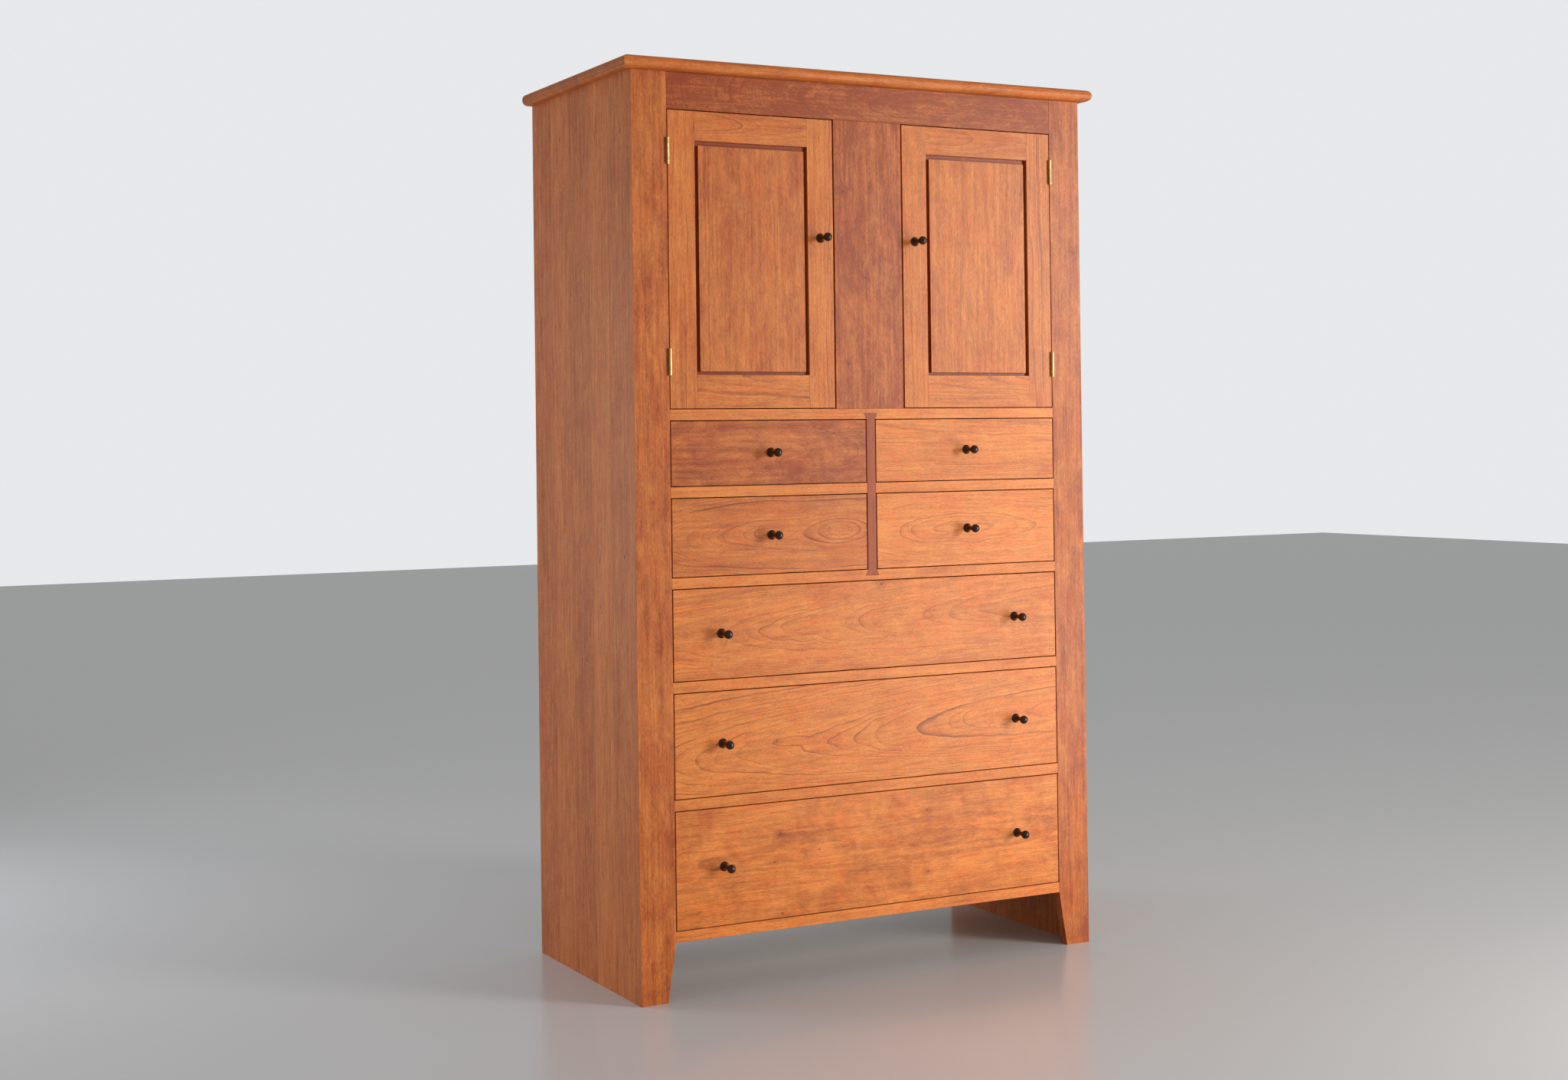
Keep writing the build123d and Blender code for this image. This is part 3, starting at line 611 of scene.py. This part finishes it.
maple = wood("maple", (0.74, 0.56, 0.36), (0.50, 0.33, 0.19), (0.40, 0.25, 0.14), ring_strength=0.35,
             blotch=0.35)
board_piece("back_boards")
board_piece("cabinet_floor", figure(along=X, face=Z, tone=0.35, seed=51.0))
board_piece("cabinet_shelf", figure(along=X, face=Z, tone=0.40, seed=53.0))
for hidden in ("shelf_cleats", "drawer_runners", "drawer_guides", "top_cleats", "stop_blocks"):
    board_piece(hidden, material=maple, slot="maple")


# ------------------------------------------------------------------ the doors
# Each door is a mortised frame around a raised panel.  The panel's field stands almost flush, in
# a square groove that shows as a dark line, from its real shadow and from painted shade on the
# groove faces, and it is free to move in its grooves.

for side, door, seed in ((-1, "door_left", 60.0), (1, "door_right", 70.0)):
    board_piece(door + "_stiles",
                figure(along=Z, face=Y, tone=0.42, pith=0.10, centre=(0.1, 0.05 * side), lean=0.01,
                       lines=1.1, mottle=0.5, seed=seed + 1),
                figure(along=Z, face=Y, tone=0.40, pith=0.09, centre=(-0.1, -0.05 * side), lean=-0.01,
                       lines=1.1, mottle=0.5, seed=seed + 2.3))
    board_piece(door + "_rails",
                figure(along=X, face=Y, tone=0.40, pith=0.06, centre=(0.0, 0.03), lean=0.03,
                       lines=1.1, mottle=0.5, seed=seed + 3.7),
                figure(along=X, face=Y, tone=0.46, pith=0.05, centre=(0.05, 0.01), lean=-0.03,
                       lines=1.1, mottle=0.5, seed=seed + 4.9))
    # the panel's groove faces carry painted shade, darker than the field, on top of their real shadow
    board_piece(door + "_panel",
                figure(along=Z, face=Y, tone=0.56 if side < 0 else 0.47, pith=0.2, centre=(0.0, 0.15),
                       lines=0.35, mottle=1.1, seed=seed + 6.1, reveal=0.6))


# ------------------------------------------------------------------ the drawers
# Each front is one board with a half-blind dovetailed box of pale maple behind it, and a thin
# bottom that slides in grooves.  The fronts carry the best figure on the case.

FRONTS = {
    "drawer_1_left": figure(tone=0.74, pith=0.060, centre=(-0.05, 0.004), bow=0.30, lines=0.8,
                            mottle=1.5, curl=1.2, knots=0.12, seed=81.0),
    "drawer_1_right": figure(tone=0.28, pith=0.10, centre=(0.0, 0.09), lean=0.03, lines=1.0,
                             mottle=0.8, wave=1.3, curl=0.6, seed=83.5),
    "drawer_2_left": figure(tone=0.46, pith=0.040, centre=(0.10, 0.0), bow=0.24, lines=1.1,
                            mottle=0.9, swirl=(0.155, 0.012, 0.020), seed=86.2),
    "drawer_2_right": figure(tone=0.20, pith=0.055, centre=(0.0, 0.002), bow=0.22, lines=1.0,
                             mottle=0.7, wave=1.2, knots=0.08, seed=88.8),
    "drawer_3": figure(tone=0.30, pith=0.070, centre=(0.1, 0.012), lean=0.055, slant=0.04, lines=1.0,
                       wave=1.3, mottle=0.8, knots=0.10, seed=91.3),
    "drawer_4": figure(tone=0.24, pith=0.085, centre=(0.1, -0.005), lean=0.062, slant=0.05, lines=1.1,
                       wave=1.1, mottle=0.7, knots=0.06, seed=94.4),
    "drawer_5": figure(tone=0.33, pith=0.065, centre=(0.05, 0.01), bow=0.06, lines=0.8, wave=1.8,
                       mottle=1.5, curl=1.6, knots=0.25, gum=0.006, seed=97.9),
}
for drawer, sawn in FRONTS.items():
    board_piece(drawer + "_front", sawn, ease=0.0008)
    board_piece(drawer + "_box", material=maple, slot="maple")
    board_piece(drawer + "_bottom", material=maple, slot="maple")


# ------------------------------------------------------------------ the knobs
# Small knobs of very dark rosewood, turned and waxed: a flange against the wood, a hollow neck
# and a round head.  A round tenon on the back of each is glued into its bore.

rosewood = wood("rosewood", (0.050, 0.012, 0.005), (0.012, 0.004, 0.002), (0.006, 0.002, 0.002),
                sheen=0.4, ring_width=0.0013, ring_strength=0.8, blotch=0.5, rough=0.17)


def turned(name, outline, sides):
    """A shape spun about Z from radii and heights, closed where the outline meets the axis."""
    shape = bmesh.new()
    rows = []
    for radius, height in outline:
        turns = [2 * math.pi * side / sides for side in range(sides if radius else 1)]
        rows.append([shape.verts.new((radius * math.cos(turn), radius * math.sin(turn), height))
                     for turn in turns])
    for low_row, high_row in zip(rows, rows[1:]):
        for side in range(sides):
            after = side + 1
            corners = [low_row[side % len(low_row)], low_row[after % len(low_row)],
                       high_row[after % len(high_row)], high_row[side % len(high_row)]]
            shape.faces.new(list(dict.fromkeys(corners)))
    bmesh.ops.recalc_face_normals(shape, faces=shape.faces)
    mesh = bpy.data.meshes.new(name)
    shape.to_mesh(mesh)
    shape.free()
    piece = bpy.data.objects.new(name, mesh)
    scene.collection.objects.link(piece)
    return piece


def set_out_tree():
    """Sets a copy of a pattern at every point, its Z along the point's outward vector, spun by chance."""
    tree = bpy.data.node_groups.new("set_out", "GeometryNodeTree")
    for label, kind in (("Places", "Geometry"), ("Pattern", "Object"), ("Finish", "Material"),
                        ("Largest Spin", "Float"), ("Seed", "Int")):
        tree.interface.new_socket(label, in_out="INPUT", socket_type="NodeSocket" + kind)
    tree.interface.new_socket("Pieces", in_out="OUTPUT", socket_type="NodeSocketGeometry")
    given = tree.nodes.new("NodeGroupInput").outputs
    pattern = node(tree, "GeometryNodeObjectInfo", {"Object": given["Pattern"]},
                   transform_space="ORIGINAL")
    outward = node(tree, "GeometryNodeInputNamedAttribute", {"Name": "outward"},
                   data_type="FLOAT_VECTOR")
    aimed = node(tree, "FunctionNodeAlignRotationToVector",
                 {"Vector": outward.outputs["Attribute"]}, axis="Z")
    chance = tree.nodes.new("FunctionNodeRandomValue")
    chance.data_type = "FLOAT"
    tree.links.new(given["Largest Spin"], chance.inputs[3])
    tree.links.new(given["Seed"], chance.inputs["Seed"])
    spin = node(tree, "FunctionNodeAxisAngleToRotation",
                {"Axis": (0, 0, 1), "Angle": chance.outputs[1]})
    spun = node(tree, "FunctionNodeRotateRotation", {0: aimed.outputs[0], 1: spin.outputs[0]},
                rotation_space="LOCAL")
    copies = node(tree, "GeometryNodeInstanceOnPoints",
                  {"Points": given["Places"], "Instance": pattern.outputs["Geometry"],
                   "Rotation": spun.outputs[0]})
    real = node(tree, "GeometryNodeRealizeInstances", {"Geometry": copies.outputs[0]})
    dressed = node(tree, "GeometryNodeSetMaterial",
                   {"Geometry": real.outputs[0], "Material": given["Finish"]})
    tree.links.new(dressed.outputs[0], tree.nodes.new("NodeGroupOutput").inputs[0])
    return tree


set_out = set_out_tree()


def laid_out(name, pattern, finish, places, largest_spin, seed):
    """Copies of a pattern at the places, each a point and the way that it faces, as one mesh."""
    mesh = bpy.data.meshes.new(name)
    mesh.from_pydata([place for place, _ in places], [], [])
    facing = mesh.attributes.new("outward", "FLOAT_VECTOR", "POINT")
    facing.data.foreach_set("vector", [c for _, way in places for c in way])
    piece = bpy.data.objects.new(name, mesh)
    scene.collection.objects.link(piece)
    modifier = piece.modifiers.new("set_out", "NODES")
    modifier.node_group = set_out
    sockets = {item.name: item.identifier for item in set_out.interface.items_tree}
    for label, value in (("Pattern", pattern), ("Finish", finish), ("Largest Spin", largest_spin),
                         ("Seed", seed)):
        modifier[sockets[label]] = value
    settled(piece)
    piece.data.shade_smooth()
    piece.data.set_sharp_from_angle(angle=EDGE)
    return piece


low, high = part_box("door_left_knob")
flange_radius = (high.x - low.x) / 2
proud = face_y - low.y
tenon = high.y - face_y
tenon_radius = 0.00475
rim = 0.0016
ease = 0.0004
waist_radius = 0.0044
waist_height = 0.016
head_radius = 0.0087
head_depth = 0.0084
neck_turn = math.radians(143)
outline = [(0, -tenon), (tenon_radius - ease, -tenon), (tenon_radius, ease - tenon), (tenon_radius, 0),
           (flange_radius - ease / 2, 0), (flange_radius, ease / 2), (flange_radius, rim - ease),
           (flange_radius - ease, rim)]
hollow_steps = 12
hollow_curve = 2.2
for step in range(1, hollow_steps + 1):
    share = step / hollow_steps
    outline.append((waist_radius + (flange_radius - ease - waist_radius) * (1 - share) ** hollow_curve,
                    rim + (waist_height - rim) * share))
neck_radius = head_radius * math.sin(neck_turn)
neck_height = proud - head_depth + head_depth * math.cos(neck_turn)
for share in (0.25, 0.5, 0.75):
    outline.append((waist_radius + (neck_radius - waist_radius) * share ** 2,
                    waist_height + (neck_height - waist_height) * share))
head_steps = 16
for step in range(head_steps + 1):
    turn = neck_turn * (1 - step / head_steps)
    outline.append((head_radius * math.sin(turn), proud - head_depth + head_depth * math.cos(turn)))
knob_sides = 40
knob = turned("knob", outline, knob_sides)

knob_nodes = ["door_left_knob", "door_right_knob"] + [drawer + "_knobs" for drawer in FRONTS]
for number, cad_node in enumerate(knob_nodes):
    low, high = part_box(cad_node)
    level = (low.z + high.z) / 2
    across = sorted({round(low.x + flange_radius, 5), round(high.x - flange_radius, 5)})
    piece = laid_out(cad_node + "_turned", knob, rosewood,
                     [((x, face_y, level), (0, -1, 0)) for x in across], 2 * math.pi, number)
    lay_grain(piece, [(faces, figure(along=Y, face=Z, tone=0.35, pith=0.03, centre=(0.0, 0.01),
                                     wave=0.3, curl=0.2, seed=number + 3.3 * i))
                      for i, faces in enumerate(islands(piece.data))])
    finished(piece, [cad_node], rosewood)
bpy.data.objects.remove(knob)


# ------------------------------------------------------------------ the hinges
# Each door hangs on two solid brass butt hinges of five knuckles, let in flush with the edges of
# door and stile.  Slotted countersunk screws hold each leaf, and a loose capped pin joins them.

brass = bpy.data.materials.new("brass")
brass.use_nodes = True
tree = brass.node_tree
shader = tree.nodes["Principled BSDF"]
where = node(tree, "ShaderNodeTexCoord").outputs["Object"]
cloud = node(tree, "ShaderNodeTexNoise",
             {"Vector": where, "Scale": 60.0, "Detail": 3.0}).outputs["Fac"]
brushed = node(tree, "ShaderNodeVectorMath", {0: where, 1: (900.0, 900.0, 60.0)},
               operation="MULTIPLY").outputs[0]
rubbed = node(tree, "ShaderNodeTexNoise",
              {"Vector": brushed, "Scale": 1.0, "Detail": 2.0}).outputs["Fac"]
tarnish = ramp(tree, cloud, 0.45, 0.75)
bright_brass = (0.76, 0.51, 0.21, 1)
dull_brass = (0.52, 0.31, 0.11, 1)
tree.links.new(mixed(tree, tarnish, bright_brass, dull_brass), shader.inputs["Base Color"])
polish = sum_of(tree, "MULTIPLY_ADD", rubbed, 0.10, 0.24)
tree.links.new(sum_of(tree, "MULTIPLY_ADD", tarnish, 0.16, polish), shader.inputs["Roughness"])
shader.inputs["Metallic"].default_value = 1.0
scratches = node(tree, "ShaderNodeBump", {"Height": rubbed, "Distance": 0.00002, "Strength": 0.3})
tree.links.new(scratches.outputs[0], shader.inputs["Normal"])

shank_radius = 0.0014
screw_radius = 0.0027
screw_length = 0.014
sunk = 0.0013
point = 0.003
screw_outline = [(0, -screw_length), (shank_radius * 0.6, point / 2 - screw_length),
                 (shank_radius, point - screw_length), (shank_radius, -sunk),
                 (screw_radius, -0.0001), (screw_radius, 0), (0, 0)]
screw_sides = 24
screw = turned("screw", screw_outline, screw_sides)
slot_width = 0.0008
slot_depth = 0.0007
saw = bmesh.new()
slot_size = Matrix.Diagonal((3 * screw_radius, slot_width, 2 * slot_depth, 1))
bmesh.ops.create_cube(saw, size=1, matrix=slot_size)
saw_mesh = bpy.data.meshes.new("slot_saw")
saw.to_mesh(saw_mesh)
saw.free()
slot_saw = bpy.data.objects.new("slot_saw", saw_mesh)
scene.collection.objects.link(slot_saw)
slotted = screw.modifiers.new("slot", "BOOLEAN")
slotted.object = slot_saw
slotted.operation = "DIFFERENCE"
settled(screw)
bpy.data.objects.remove(slot_saw)


def hinge_leaves(cad_node, number):
    """The brass leaves of one node, with fresh slotted screws in the places of its own."""
    piece = eased(cad_node + "_brass", cad_node, 0.00015)
    mesh = piece.data
    leaves, screws = [], []
    for faces in islands(mesh):
        corners = np.array([mesh.vertices[i].co for f in faces for i in mesh.polygons[f].vertices])
        low, high = corners.min(0), corners.max(0)
        (leaves if high[2] - low[2] > 3 * screw_radius else screws).append((low, high, faces))
    places = []
    for low, high, _ in screws:
        middle = (low + high) / 2
        leaf = min(leaves, key=lambda other: np.linalg.norm((other[0] + other[1]) / 2 - middle))
        outward = 1 if (leaf[0] + leaf[1])[0] / 2 > middle[0] else -1
        flush = high[0] if outward > 0 else low[0]
        places.append(((flush, middle[1], middle[2]), (outward, 0, 0)))
    shape = bmesh.new()
    shape.from_mesh(mesh)
    shape.faces.ensure_lookup_table()
    loose = [shape.faces[f] for _, _, faces in screws for f in faces]
    bmesh.ops.delete(shape, geom=loose, context="FACES")
    shape.to_mesh(mesh)
    shape.free()
    finished(piece, [cad_node], brass)
    fixings = laid_out(cad_node.replace("leaves", "screws"), screw, brass, places, math.pi, number)
    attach(fixings, body_of(cad_node))


leaf_nodes = ("hinge_case_leaves", "door_left_hinge_leaves", "door_right_hinge_leaves")
for number, cad_node in enumerate(leaf_nodes):
    hinge_leaves(cad_node, number)
bpy.data.objects.remove(screw)
finished(eased("hinge_pins_brass", "hinge_pins", 0.0002), ["hinge_pins"], brass)
